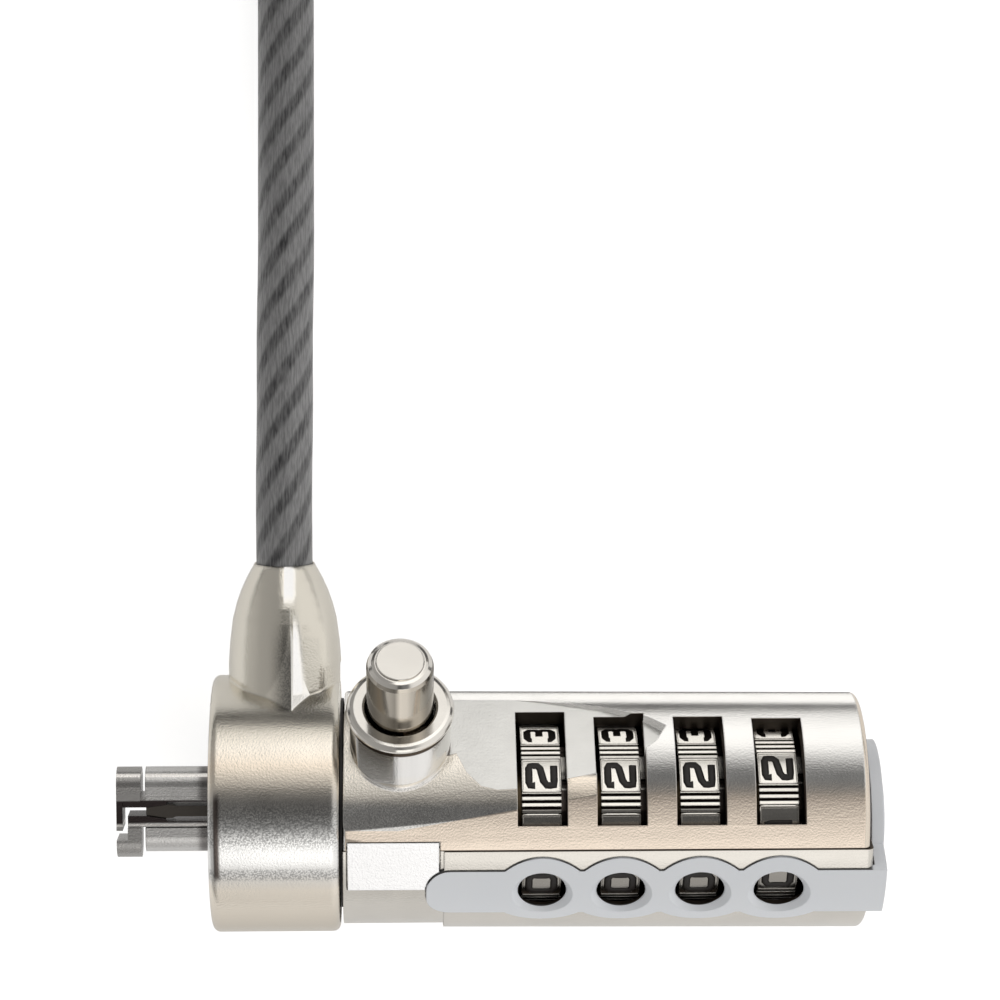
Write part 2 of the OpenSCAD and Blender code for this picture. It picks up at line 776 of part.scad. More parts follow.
// Leaf spring along the underside with one finger for each wheel's click plate, and its pocket
comb_h = cavity_r + 0.15;
comb_half = 2.2;
module comb_pocket() {
    translate([0, wheel_y, wheel_z]) leaning(-click_turn)
        block([wheels[0] - 2.6, -comb_half - 0.1, 4], [wheels[3] + 3, comb_half + 0.1, comb_h + 0.3]);
}

module detent_comb() {
    color([0.65, 0.6, 0.45]) translate([0, wheel_y, wheel_z]) leaning(-click_turn) {
        block([wheels[0] - 2.5, -comb_half, comb_h], [wheels[3] + 2.9, comb_half, comb_h + 0.25]);
        for (i = [0:3]) {
            finger = [wheels[i] + wheel_w / 2 + 0.15, wheels[i] + wheel_w / 2 + 0.65];
            // a finger rides up on the plate of a wheel that stands between two numbers
            tip_h = i == 3 && last_wheel_turn > 0 ? 6.05 : 5.9;
            block([finger[0], -1.9, 6.2], [finger[1], -1.3, comb_h + 0.1]);
            block([finger[0], -1.9, 6.2], [finger[1], 0.4, 6.4]);
            translate([finger[0], 0, tip_h]) along_x() cylinder(h = 0.5, r = 0.4);
        }
    }
}

// Plug that closes the back and holds the spring and the reset screw
module rear_bushing() {
    x0 = wheels[3] + 3.85;
    color([0.66, 0.64, 0.6]) difference() {
        rod(x0, bushing_end, cavity_r - fit, wheel_y, wheel_z);
        rod(x0 - 1, shell_end, rod_r + 0.1, wheel_y, wheel_z);
        screw_rod(0.75, 5.4, 12);
    }
}

// Two small screws that hold the lower shell to the chassis and the bushing
module shell_screws() {
    color([0.6, 0.6, 0.62]) difference() {
        union() {
            screw_rod(0.75, 5.6, 8.3);
            screw_rod(1.15, 8.15, 8.75);
        }
        for (x = screw_x) leaning(screw_turn) block([x - 2, -0.15, 8.45], [x + 2, 0.15, 9]);
    }
}

// Return spring behind the spindle
module spindle_spring() {
    turns = 2.5;
    n = 36;
    x0 = rod_end + 0.27;
    x1 = bushing_end - 0.17;
    path = [for (k = [0:n]) let (a = 360 * turns * k / n)
        [x0 + (x1 - x0) * k / n, wheel_y + 1.85 * cos(a), wheel_z + 1.85 * sin(a)]];
    color([0.7, 0.7, 0.72]) wire(path, 0.25, 6);
}

// Wire along a helix round the barrel's axis
function wire_ring(p, i, r, n) =
    let (t = heading(p, i), side = unit(cross(t, [1, 0, 0])), up = cross(side, t))
    [for (k = [0:n - 1]) p[i] + r * (cos(360 * k / n) * side + sin(360 * k / n) * up)];
module wire(p, r, n) {
    last = len(p) - 1;
    points = [for (i = [0:last]) each wire_ring(p, i, r, n)];
    walls = [for (i = [0:last - 1], k = [0:n - 1], half = [0, 1])
        let (a = i * n + k, b = i * n + (k + 1) % n)
        half == 0 ? [a, a + n, b] : [b, a + n, b + n]];
    start_cap = [for (k = [1:n - 2]) [0, k, k + 1]];
    end_cap = [for (k = [1:n - 2]) [last * n, last * n + k + 1, last * n + k]];
    polyhedron(points = points, faces = concat(walls, start_cap, end_cap));
}

// Slotted screw in the end cap, turned to change the code
module reset_screw() {
    color([0.6, 0.58, 0.55]) translate([0, wheel_y, wheel_z]) difference() {
        union() {
            rod(bushing_end + 0.1, shell_end - 0.9, 3.4);
            rod(bushing_end + 0.1, cap_boss_end - 0.1, 2.5);
        }
        block([cap_boss_end - 0.9, -0.45, -3], [cap_boss_end + 1, 0.45, 3]);
    }
}

swivel_collar();
cable_ferrule();
cable();
cable_coil();
eye_crimp_sleeve();
anchor_eye();
front_chassis();
collar_clip();
swivel_washer();
nose_prongs();
claw_pins();
upper_shell();
lower_shell();
seam_key();
dial_window_trim();
button_bezel();
rear_bushing();
wheel_dividers();
detent_comb();
shell_screws();
spindle_spring();
number_wheel(0);  // number_wheel_1
number_wheel(1);  // number_wheel_2
number_wheel(2);  // number_wheel_3
number_wheel(3);  // number_wheel_4
code_sleeve(0);  // code_sleeve_1
code_sleeve(1);  // code_sleeve_2
code_sleeve(2);  // code_sleeve_3
code_sleeve(3);  // code_sleeve_4
push_button();
locking_spindle();
claw_upper();
claw_lower();
reset_screw();
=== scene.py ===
import math

import bmesh
import bpy
from mathutils import Matrix, Vector


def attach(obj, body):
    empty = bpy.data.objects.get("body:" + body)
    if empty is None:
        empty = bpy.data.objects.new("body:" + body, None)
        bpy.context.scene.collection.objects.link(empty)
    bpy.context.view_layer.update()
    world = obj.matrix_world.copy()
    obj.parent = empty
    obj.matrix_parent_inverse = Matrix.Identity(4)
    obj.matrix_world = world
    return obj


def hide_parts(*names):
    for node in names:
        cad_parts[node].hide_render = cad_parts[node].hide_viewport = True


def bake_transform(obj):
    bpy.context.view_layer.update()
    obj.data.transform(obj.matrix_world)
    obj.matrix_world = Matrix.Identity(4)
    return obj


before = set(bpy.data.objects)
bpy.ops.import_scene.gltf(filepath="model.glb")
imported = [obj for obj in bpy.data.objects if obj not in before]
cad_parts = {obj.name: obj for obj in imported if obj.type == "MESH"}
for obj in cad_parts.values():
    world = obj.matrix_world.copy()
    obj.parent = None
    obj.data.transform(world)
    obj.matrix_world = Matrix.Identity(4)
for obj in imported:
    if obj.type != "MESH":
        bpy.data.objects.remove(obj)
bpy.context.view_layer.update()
MM = 0.001

# ---------- Camera ----------
# A product camera on a stand over the table, with a long lens. It looks almost straight down, and sees
# the lock a little from the cable's side.

LENS_PLACE = Vector((15.0, 55.0, 262.0)) * MM
LENS_AIM = Vector((23.04, 24.94, 0.0)) * MM
LENS_MM, SENSOR_MM = 118.8, 36.0


def placed(name, data):
    """Makes an object of a mesh, a curve or a camera and puts it in the scene."""
    made = bpy.data.objects.new(name, data)
    bpy.context.collection.objects.link(made)
    return made


camera = placed("camera", bpy.data.cameras.new("camera"))
camera.data.lens = LENS_MM
camera.data.sensor_width = SENSOR_MM
camera.data.clip_start = 0.01
camera.data.clip_end = 20.0
view_dir = (LENS_AIM - LENS_PLACE).normalized()
view_right = view_dir.cross(Vector((0, 1, 0))).normalized()
view_up = view_right.cross(view_dir)
turn = Matrix((view_right, view_up, -view_dir)).transposed().to_4x4()
camera.matrix_world = Matrix.Translation(LENS_PLACE) @ turn
bpy.context.scene.camera = camera
bpy.context.scene.view_settings.view_transform = "Standard"


# ---------- Cable ----------
# Six steel strands laid up right-handed round a core, in a smoky clear vinyl sheath.
# One length runs from the boss down to the table and into a flat coil of four layers.

class Wire:
    """An output socket of a material. Arithmetic on it adds Math nodes."""

    def __init__(self, tree, socket):
        self.tree = tree
        self.socket = socket

    def math(self, operation, *others):
        node = self.tree.nodes.new("ShaderNodeMath")
        node.operation = operation
        for place, value in enumerate((self,) + others):
            if isinstance(value, Wire):
                self.tree.links.new(value.socket, node.inputs[place])
            else:
                node.inputs[place].default_value = value
        return Wire(self.tree, node.outputs[0])

    def __add__(self, other):
        return self.math("ADD", other)

    def __mul__(self, other):
        return self.math("MULTIPLY", other)

    def __sub__(self, other):
        return self.math("SUBTRACT", other)

    def __rsub__(self, other):
        return (self * -1.0) + other

    def __truediv__(self, other):
        return self.math("DIVIDE", other)

    __radd__ = __add__
    __rmul__ = __mul__

    def between(self, low, high):
        """0 below low, 1 above high, smooth in between."""
        node = self.tree.nodes.new("ShaderNodeMapRange")
        node.interpolation_type = "SMOOTHSTEP"
        self.tree.links.new(self.socket, node.inputs["Value"])
        node.inputs["From Min"].default_value = low
        node.inputs["From Max"].default_value = high
        return Wire(self.tree, node.outputs["Result"])

    def until(self, low, high):
        """1 below low, 0 above high, smooth in between."""
        return 1.0 - self.between(low, high)

    def band(self, low, full, end, gone):
        """0 below low, 1 from full to end, 0 above gone."""
        return self.between(low, full) * self.until(end, gone)

    def near(self, middle, full, gone):
        """1 within full of a middle value, 0 further than gone from it."""
        return (self - middle).math("ABSOLUTE").until(full, gone)

    def larger(self, other):
        return self.math("MAXIMUM", other)

    def hypot(self, other):
        """The length whose two square parts are this wire and another."""
        return (self * self + other * other).math("SQRT")

    def lean(self, upright):
        """The angle in degrees from upright of a direction whose other part is this wire."""
        return self.math("ARCTAN2", upright) * (180 / math.pi)


class Finish:
    """A material, or the world, that is put together node by node."""

    def __init__(self, name, colour=(0.8, 0.8, 0.8), owner=None, **constants):
        self.owner = owner or bpy.data.materials.new(name)
        self.owner.use_nodes = True
        self.tree = self.owner.node_tree
        self.shader = next((n for n in self.tree.nodes if n.type == "BSDF_PRINCIPLED"), None)
        if self.shader:
            self.shader.inputs["Base Color"].default_value = (*colour, 1.0)
            for socket, value in constants.items():
                self.shader.inputs[socket.replace("_", " ")].default_value = value

    def node(self, kind, settings, sockets, out=0):
        """Adds a node of a kind, with its settings first and then its sockets' values or links."""
        node = self.tree.nodes.new(kind)
        for key, value in settings.items():
            if key == "stops":
                ramp = node.color_ramp
                while len(ramp.elements) < len(value):
                    ramp.elements.new(0.5)
                for element, (place, shade) in zip(ramp.elements, value):
                    element.position = place
                    element.color = (*shade, 1.0)
            else:
                setattr(node, key, value)
        for key, value in sockets.items():
            if isinstance(value, Wire):
                self.tree.links.new(value.socket, node.inputs[key])
            else:
                node.inputs[key].default_value = value
        return Wire(self.tree, node.outputs[out])

    def feed(self, **links):
        """Links wires to the shader's own sockets."""
        for socket, wire in links.items():
            self.tree.links.new(wire.socket, self.shader.inputs[socket.replace("_", " ")])

    def fed(self, socket):
        """The wire that feeds one of the shader's sockets."""
        return Wire(self.tree, self.shader.inputs[socket].links[0].from_socket)

    def place(self, kind="Object"):
        return self.node("ShaderNodeTexCoord", {}, {}, kind)

    def split(self, vector):
        """The x, y and z of a vector as three wires."""
        node = self.node("ShaderNodeSeparateXYZ", {}, {"Vector": vector}).socket.node
        return [Wire(self.tree, out) for out in node.outputs]

    def spot(self):
        """Where on its piece a spot is, as three wires in mm."""
        return [part / MM for part in self.split(self.place())]

    def along(self, vector, direction):
        """How far a vector reaches in a direction, which is a wire or three numbers."""
        ends = {0: vector, 1: direction if isinstance(direction, Wire) else tuple(direction)}
        return self.node("ShaderNodeVectorMath", {"operation": "DOT_PRODUCT"}, ends, "Value")

    def turned(self, vector, degrees):
        """A vector turned round the barrel's axis, from the cable's side upwards."""
        sockets = {"Vector": vector, "Angle": degrees * (math.pi / 180)}
        return self.node("ShaderNodeVectorRotate", {"rotation_type": "X_AXIS"}, sockets)

    def swayed(self, mask, normal, direction):
        """A normal that goes over to a fixed direction as mask goes from 0 to 1."""
        ends = {0: mask, 4: normal, 5: tuple(Vector(direction).normalized())}
        return self.node("ShaderNodeMix", {"data_type": "VECTOR"}, ends, 1)

    def noise(self, size, detail=2.0, vector=None, stretch=(1, 1, 1)):
        """Noise whose blobs are about size metres across, drawn out along the axes by stretch."""
        scale = tuple(1.0 / (size * s) for s in stretch)
        spot = self.node("ShaderNodeMapping", {}, {"Vector": vector or self.place(), "Scale": scale})
        return self.node("ShaderNodeTexNoise", {}, {"Vector": spot, "Scale": 1.0, "Detail": detail}, "Fac")

    def blend(self, mask, first, second):
        """A colour that goes from first to second as mask goes from 0 to 1."""
        ends = [v if isinstance(v, Wire) else (*v, 1.0) for v in (first, second)]
        return self.node("ShaderNodeMix", {"data_type": "RGBA"}, {0: mask, 6: ends[0], 7: ends[1]}, 2)

    def layered(self, tint, *layers):
        """Lays colours over a tint, each where its own mask is 1."""
        for mask, colour in layers:
            tint = self.blend(mask, tint, colour)
        return tint

    def ramp(self, value, low, high, tones):
        """A colour read off a row of tones, each at its own value from low to high."""
        stops = [((at - low) / (high - low), tone) for at, tone in tones]
        place = (value - low) / (high - low)
        return self.node("ShaderNodeValToRGB", {"stops": stops}, {"Fac": place}, "Color")

    def bump(self, height, strength, distance, normal=None):
        sockets = {"Height": height, "Strength": strength, "Distance": distance}
        if normal:
            sockets["Normal"] = normal
        return self.node("ShaderNodeBump", {}, sockets)


CABLE_D = 4.5
CABLE_SIDES = 24
LAY_LENGTH = 20.4
STRANDS = 6
COIL_X, COIL_Y, COIL_R, COIL_STEP, COIL_TURNS = 39.5, 108.0, 33.5, 4.95, 10.5
COIL_LAYERS, COIL_CLIMB, TURN_POINTS = 4, 0.5, 24
TAIL_R, TAIL_TURN, TAIL_POINTS = 18.0, math.radians(110), 8
TAIL_RISE, TAIL_CLIMB, TAIL_STRAIGHT = 5.6, 0.3, 5.0
SLEEVE_LEN, EYE_BOW, EYE_LEN, EYE_STRAIGHT, EYE_GAP = 14.0, 13.5, 36.0, 4.5, 0.1
FLOOR_Z = -10.3
CABLE_LOW = FLOOR_Z + CABLE_D / 2

cable_route = [
    (5.8, 19.0, 0), (5.8, 20, 0), (5.8, 26, -0.2), (5.9, 32, -0.7), (5.9, 38, -1.7),
    (6, 44, -2.9), (6, 50, -4.2), (6, 56, -5.5), (6, 62, -6.6), (6, 68, -7.4), (6, 74, -7.9),
    (6, 80, CABLE_LOW), (6, 88, CABLE_LOW), (6, 96, CABLE_LOW), (6, 103, CABLE_LOW),
    (6, 107.8, CABLE_LOW),
]


def smooth(low, high, value):
    """0 below low, 1 above high, smooth in between, for a number."""
    part = min(max((value - low) / (high - low), 0.0), 1.0)
    return part * part * (3 - 2 * part)


def coil_point(turns):
    """Where the coil's centreline is after some turns: in and out over its layers."""
    layer_turns = COIL_TURNS / COIL_LAYERS
    layer, part = divmod(turns / layer_turns, 1.0)
    radius = COIL_R - COIL_STEP * layer_turns * (part if layer % 2 == 0 else 1 - part)
    height = CABLE_LOW + TAIL_RISE * smooth(COIL_TURNS - TAIL_CLIMB, COIL_TURNS, turns)
    for climb in range(1, COIL_LAYERS):
        height += COIL_STEP * smooth(-COIL_CLIMB / 2, COIL_CLIMB / 2, turns - climb * layer_turns)
    angle = math.pi - 2 * math.pi * turns
    return (COIL_X + radius * math.cos(angle), COIL_Y + radius * math.sin(angle), height)


end_angle = math.pi - 2 * math.pi * COIL_TURNS
tail_x = COIL_X + (COIL_R - TAIL_R) * math.cos(end_angle)
tail_y = COIL_Y + (COIL_R - TAIL_R) * math.sin(end_angle)
tail_z = coil_point(COIL_TURNS)[2]
coil_route = [coil_point(k / TURN_POINTS) for k in range(1, int(TURN_POINTS * COIL_TURNS) + 1)]
coil_route += [
    (tail_x + TAIL_R * math.cos(end_angle - k * TAIL_TURN / TAIL_POINTS),
     tail_y + TAIL_R * math.sin(end_angle - k * TAIL_TURN / TAIL_POINTS), tail_z)
    for k in range(1, TAIL_POINTS + 1)
]
coil_route.append((tail_x - TAIL_STRAIGHT, tail_y - TAIL_R, tail_z))


def mesh_of(curve):
    """The mesh that a curve's bevel makes."""
    source = placed(curve.name, curve)
    bpy.context.view_layer.update()
    mesh = bpy.data.meshes.new_from_object(source.evaluated_get(bpy.context.evaluated_depsgraph_get()))
    bpy.data.objects.remove(source)
    return mesh


def swept_cable(name, route, sides):
    """Round open-ended tube along a route in mm."""
    curve = bpy.data.curves.new(name, "CURVE")
    curve.dimensions = "3D"
    curve.bevel_depth = CABLE_D / 2 * MM
    curve.bevel_resolution = (sides - 4) // 2
    curve.resolution_u = 3
    curve.twist_mode = "MINIMUM"
    spline = curve.splines.new("BEZIER")
    spline.bezier_points.add(len(route) - 1)
    for knot, spot in zip(spline.bezier_points, route):
        knot.co = Vector(spot) * MM
        knot.handle_left_type = knot.handle_right_type = "AUTO"
    return placed(name, mesh_of(curve))


def round_map(piece, sides):
    """Maps a swept tube and closes its ends: u is metres along it and v goes from 0 to 1 round it.

    It gives back the middles of the tube's rings and its length, in metres.
    """
    mesh = piece.data
    rings = len(mesh.vertices) // sides
    centres = []
    for ring in range(rings):
        middle = Vector()
        for k in range(sides):
            middle += mesh.vertices[ring * sides + k].co
        centres.append(middle / sides)
    along = [0.0]
    for a, b in zip(centres, centres[1:]):
        along.append(along[-1] + (b - a).length)
    layer = mesh.uv_layers.new(name="lay") if not mesh.uv_layers else mesh.uv_layers[0]
    for face in mesh.polygons:
        spots = [mesh.loops[i].vertex_index for i in face.loop_indices]
        wraps = {v % sides for v in spots} == {0, sides - 1}
        for i, v in zip(face.loop_indices, spots):
            ring, k = divmod(v, sides)
            layer.data[i].uv = (along[ring], 1.0 if wraps and k == 0 else k / sides)
    mesh.shade_smooth()
    form = bmesh.new()
    form.from_mesh(mesh)
    bmesh.ops.holes_fill(form, edges=[e for e in form.edges if e.is_boundary])
    form.to_mesh(mesh)
    form.free()
    return centres, along[-1]


sheath = Finish("cable_sheath", (0.1, 0.1, 0.105), Roughness=0.28, Coat_Weight=0.35, Coat_Roughness=0.2)
lay_u, lay_v, _ = sheath.split(sheath.place("UV"))
strand_turn = (lay_v - lay_u * (1000.0 / LAY_LENGTH)) * (2 * math.pi * STRANDS)
strand = strand_turn.math("COSINE") * 0.5 + 0.5
unrolled = sheath.node("ShaderNodeCombineXYZ", {}, {"X": lay_u, "Y": lay_v * (math.pi * CABLE_D * MM)})
wires = sheath.noise(0.00016, 2.0, unrolled, stretch=(7, 1, 1)).between(0.3, 0.7)
mottle = sheath.noise(0.0011, 2.0, unrolled, stretch=(2, 1, 1)).between(0.3, 0.7)
sheen = strand.between(0.05, 0.7) * (1.0 - mottle * 0.35) * 0.6 + mottle * 0.2 + wires * 0.4
sheath.feed(Base_Color=sheath.blend(sheen, (0.015, 0.015, 0.017), (0.29, 0.29, 0.295)))
sheath.feed(Normal=sheath.bump(sheen, 0.25, 0.0003))

cable_piece = swept_cable("cable_length", cable_route + coil_route, CABLE_SIDES)
cable_line, cable_run = round_map(cable_piece, CABLE_SIDES)
cable_piece.data.materials.append(sheath.owner)

# The cable's far end: an eye to pass the lock through, clamped by an oval steel sleeve.
sleeve_back = tail_x - TAIL_STRAIGHT - SLEEVE_LEN
eye_half = CABLE_D / 2 + EYE_GAP
sleeve_y = tail_y - TAIL_R - eye_half
eye_back = sleeve_back - EYE_STRAIGHT
bow_x = sleeve_back - EYE_LEN + EYE_BOW
eye_route = [(sleeve_back, sleeve_y + eye_half, tail_z), (eye_back, sleeve_y + eye_half, tail_z)]
eye_route += [
    (bow_x - EYE_BOW * math.cos(math.radians(a)), sleeve_y + EYE_BOW * math.sin(math.radians(a)), tail_z)
    for a in range(90, -91, -15)
]
eye_route += [(eye_back, sleeve_y - eye_half, tail_z), (sleeve_back, sleeve_y - eye_half, tail_z)]
eye_piece = swept_cable("cable_eye", eye_route, CABLE_SIDES)
round_map(eye_piece, CABLE_SIDES)
eye_piece.data.materials.append(sheath.owner)

for piece, nodes in ((cable_piece, ("cable", "cable_coil")), (eye_piece, ("anchor_eye",))):
    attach(piece, "cable_head")
    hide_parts(*nodes)


# ---------- Table and light ----------
# A white table under a large soft light on each side, with the dark lens side between them. Beyond the
# cable's side the table is painted dark, as painted shade that stands for the dim room in reflections, and
# nearer the lock it has a painted glow, which the camera does not see straight.

TABLE_SIZE, TABLE_GLOW = 2.0, 0.7
TABLE_WHITE = (0.86, 0.86, 0.86)
LIGHT_MAX = 1.5
LIGHT_WARM = (1.0, 0.985, 0.96)
PLAIN_WHITE = (1 / LIGHT_MAX, 1 / LIGHT_MAX, 1 / LIGHT_MAX)


def seen_by_camera(finish):
    """1 where the camera sees a surface straight, 0 where it is mirrored or lights another one."""
    return finish.node("ShaderNodeLightPath", {}, {}, "Is Camera Ray")


table_finish = Finish("table_white", TABLE_WHITE, Roughness=0.9, Emission_Strength=TABLE_GLOW)
# Painted shade: the table turns dark beyond about 0.1 m towards the cable's side, and its painted glow ends
# there.
far_painted_shade = table_finish.split(table_finish.place())[1].between(0.08, 0.11)
table_painted_glow = table_finish.blend(far_painted_shade, (0.35, 0.35, 0.35), (0, 0, 0))
table_finish.feed(
    Base_Color=table_finish.blend(far_painted_shade, TABLE_WHITE, (0.05, 0.05, 0.05)),
    Emission_Color=table_finish.blend(seen_by_camera(table_finish), table_painted_glow, (1, 1, 1)))
table_mesh = bpy.data.meshes.new("table_top")
form = bmesh.new()
bmesh.ops.create_grid(form, x_segments=1, y_segments=1, size=TABLE_SIZE)
bmesh.ops.translate(form, verts=form.verts, vec=(0, 0, FLOOR_Z * MM))
form.to_mesh(table_mesh)
form.free()
table_mesh.materials.append(table_finish.owner)
placed("table_top", table_mesh)

studio = bpy.data.worlds.new("studio")
bpy.context.scene.world = studio
sky = Finish("studio", owner=studio)
ray_x, ray_y, ray_z = sky.split(sky.place("Generated"))


def light_tones(levels):
    """The colours of a row of (place, brightness) pairs."""
    return [(place, tuple(level / LIGHT_MAX * c for c in LIGHT_WARM)) for place, level in levels]


# By how far a ray leans from upright towards the cable, in degrees
soft_light = [
    (-180, 0.5), (-120, 0.6), (-85, 0.72), (-62, 0.78), (-50, 0.85), (-41, 1.28), (-24, 1.25), (-14, 0.5),
    (-6, 0.2), (2, 0.1), (20, 0.1), (26, 0.42), (34, 0.8), (46, 1.33), (68, 1.35), (77, 1.1),
    (83, 0.82), (88, 0.35), (94, 0.12), (104, 0.42), (130, 0.55), (180, 0.5),
]
# By how far a ray goes along the barrel, from the nose's side to the end cap's
side_light = [(-1.0, 0.5), (-0.92, 0.46), (-0.8, 0.38), (-0.4, 0.34), (-0.16, 0.31), (0.2, 0.7), (0.6, 0.85),
              (1.0, 0.85)]
glow = sky.ramp(ray_y.lean(ray_z), -180, 180, light_tones(soft_light))
sides = sky.ramp(ray_x, -1, 1, light_tones(side_light))
glow = sky.blend(ray_x.band(-0.14, -0.085, 0.3, 0.46), sides, glow)
glow = sky.blend(ray_x.between(0.04, 0.1) * 0.1, glow, PLAIN_WHITE)
backdrop = sky.tree.nodes["Background"]
sky.tree.links.new(sky.blend(seen_by_camera(sky), glow, PLAIN_WHITE).socket, backdrop.inputs["Color"])
backdrop.inputs["Strength"].default_value = LIGHT_MAX


# ---------- Collar ----------
# A zinc casting, tumbled and plated with satin nickel, that turns on the barrel's neck. The cable goes into
# its boss, and a keel runs down the boss to a point. Light and shade are painted into its colour: bands round
# the collar, a painted highlight on the keel's facet, beside its crest and on the crown, and painted shade on
# the nose's side of the crest.

CAST = (0.81, 0.77, 0.685)
KEEL_TIP = Vector((6.45, 8.9, 5.7))
KEEL_TOP = Vector((6.35, 16.9, 3.66))
KEEL_RIGHT = Vector((8.1, 9.4, 3.8))
KEEL_SQUARE = (KEEL_TIP - KEEL_TOP).cross(KEEL_RIGHT - KEEL_TOP).normalized()
HOLLOW_LEAN = (0.05, 0.57, 0.82)
FLANK_LEAN = (0.15, 0.37, 0.91)


def nickel(name, colour, rough, grain=1.0, edge=0.12, reshape=None):
    """Satin nickel: a fine pebbled skin, faint long polishing marks and worn soft edges.

    What reshape gives back from the skin and its normal is the normal the skin is shaded with.
    """
    skin = Finish(name, colour, Metallic=1.0, Roughness=rough)
    pebble = skin.noise(0.00016, 2.0)
    marks = skin.noise(0.00012, 3.0, stretch=(14, 1, 1))
    cloud = skin.noise(0.003, 3.0)
    soft = skin.node("ShaderNodeBevel", {"samples": 4}, {"Radius": edge * MM})
    skin.feed(Roughness=cloud * 0.12 + marks * 0.1 + (rough - 0.1))
    skin.feed(Base_Color=skin.blend(cloud.between(0.3, 0.7), tuple(c * 0.94 for c in colour), colour))
    if reshape:
        soft = reshape(skin, soft)
    skin.feed(Normal=skin.bump(pebble * 0.8 + marks * 0.2, 0.1 * grain, 0.0001, soft))
    return skin


def dress(node, finish):
    """Gives a CAD node its finish."""
    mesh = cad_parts[node].data
    mesh.materials.clear()
    mesh.materials.append(finish.owner)


def plane_mask(skin, square, spot):
    """1 on the flat face that lies square to a direction and goes through a spot in mm."""
    off = skin.along(skin.place(), square) / MM
    facing = skin.along(skin.place("Normal"), square)
    return off.near(square.dot(spot), 0.05, 0.1) * facing.between(0.96, 0.985)


def on_boss(skin):
    """A spot's x from the keel's crest and its y, in mm, and 1 on the boss's upper half."""
    x, y, z = skin.spot()
    return x - KEEL_TIP.x, y, z.between(2.0, 2.5)


def keel_highlight(skin):
    """1 where the boss gets a painted highlight: the keel's facet, beside the keel's crest and on the crown.
    """
    x, y, upper = on_boss(skin)
    beside = x.between(0.08, 0.16) * (x + (y - 16.5) * 0.09).until(0.15, 0.75) * y.band(9.4, 10.4, 14.6, 16.8)
    crown = x.band(-0.7, -0.54, 0.0, 0.5) * y.between(16.7, 18.0)
    return plane_mask(skin, KEEL_SQUARE, KEEL_TIP).larger(beside).larger(crown) * upper


def keel_shade(skin):
    """1 along the nose's side of the keel's crest, which gets painted shade."""
    x, y, upper = on_boss(skin)
    return x.band(-2.0, -0.3, -0.02, 0.06) * y.band(8.8, 9.1, 12.5, 16.6) * upper


def keel_flank(skin):
    """1 on the boss's side between its bright edge and the barrel."""
    x, y, upper = on_boss(skin)
    return x.band(0.6, 1.1, 2.0, 2.9) * y.band(9.6, 10.4, 14.0, 15.4) * upper


def shoulder(skin):
    """1 on the collar's round where it turns down towards the cable, beside the boss."""
    _, y, z = skin.spot()
    return y.lean(z).between(61.0, 66.0) * y.hypot(z).until(10.34, 10.5)


def keel_lit(skin, normal):
    """The bright parts of the boss and the collar's shoulder are a little hollow, and catch the light."""
    normal = skin.swayed(shoulder(skin), normal, HOLLOW_LEAN)
    normal = skin.swayed(keel_flank(skin) * 0.85, normal, FLANK_LEAN)
    return skin.swayed(keel_highlight(skin), normal, HOLLOW_LEAN)


collar_nickel = nickel("collar_nickel", CAST, 0.2, 1.5, edge=0.3, reshape=keel_lit)
collar_x, collar_y, collar_z = collar_nickel.spot()
collar_lean = collar_y.lean(collar_z)
# Painted light and shade: bright and dark bands round the collar, set by how far its surface leans towards
# the cable.
collar_light_and_shade = [
    (-58, (0.66, 0.6, 0.51)), (-28, (0.92, 0.85, 0.75)), (-19, (0.82, 0.81, 0.79)), (-13, (0.99, 0.99, 0.98)),
    (-5, (0.99, 0.99, 0.98)), (4, (0.64, 0.64, 0.63)), (14, (0.54, 0.52, 0.49)), (22, (0.82, 0.75, 0.65)),
    (30, (0.84, 0.74, 0.62)), (38, (0.86, 0.8, 0.71)), (50, (0.7, 0.66, 0.58)), (62, CAST),
]
# Dark specks that lie on the painted dark bands.
specks = collar_nickel.noise(0.00014, 1.0).between(0.4, 0.6)
specks_on_shade_bands = collar_lean.near(3.5, 6.0, 13.0).larger(collar_lean.near(-19.0, 1.5, 4.0))
# Painted shade along the collar's rounded rim, on the side that faces up.
rim = collar_x.band(0.4, 0.55, 0.75, 1.05) * collar_lean.band(-24.0, -19.0, 14.0, 20.0)
# Layers: specks on the painted bands, painted shade beside the keel, a darker painted tone on the shoulder,
# the keel's painted highlight, and painted shade on the rim.
collar_nickel.feed(Base_Color=collar_nickel.layered(
    collar_nickel.ramp(collar_lean, -90, 90, collar_light_and_shade),
    (specks * specks_on_shade_bands * 0.6, (0.22, 0.22, 0.22)),
    (keel_shade(collar_nickel) * (0.75 + specks * 0.2), (0.16, 0.155, 0.145)),
    (shoulder(collar_nickel), (0.62, 0.6, 0.56)),
    (keel_highlight(collar_nickel), (0.76, 0.755, 0.75)),
    (rim, (0.13, 0.11, 0.1))))
dress("swivel_collar", collar_nickel)


# ---------- Shells and key ----------
# Two zinc half shells in the same nickel meet at a seam, with a bright key at its front end. The upper one
# carries the tower for the button, a dished part round the tower's foot that ends at a crease, a flat blade
# of a face behind the button, and four upright windows.

# Painted tints of the light on the upper shell: warm below y 2.6 mm, cool above 4.4 mm towards the cable.
CAST_WARM = (0.83, 0.72, 0.61)
CAST_COOL = (0.82, 0.81, 0.79)
# The colour of painted shade in the shells' pockets, and of the dark seam line.
POCKET_DARK = (0.12, 0.095, 0.075)
DROOP = math.tan(math.radians(0.4))
TOWER_X, TOWER_R = 15.0, 3.94
FLAT_OFF = 8.1
END_WALL_LEAN = (0.03, 0.55, 0.83)


def leaning(degrees):
    """The direction that leans some degrees from upright towards the cable."""
    return Vector((0.0, math.sin(math.radians(degrees)), math.cos(math.radians(degrees))))


FLAT_SQUARE, TOWER_AXIS, SEAM_SQUARE = leaning(47.5), leaning(47), leaning(80.5)


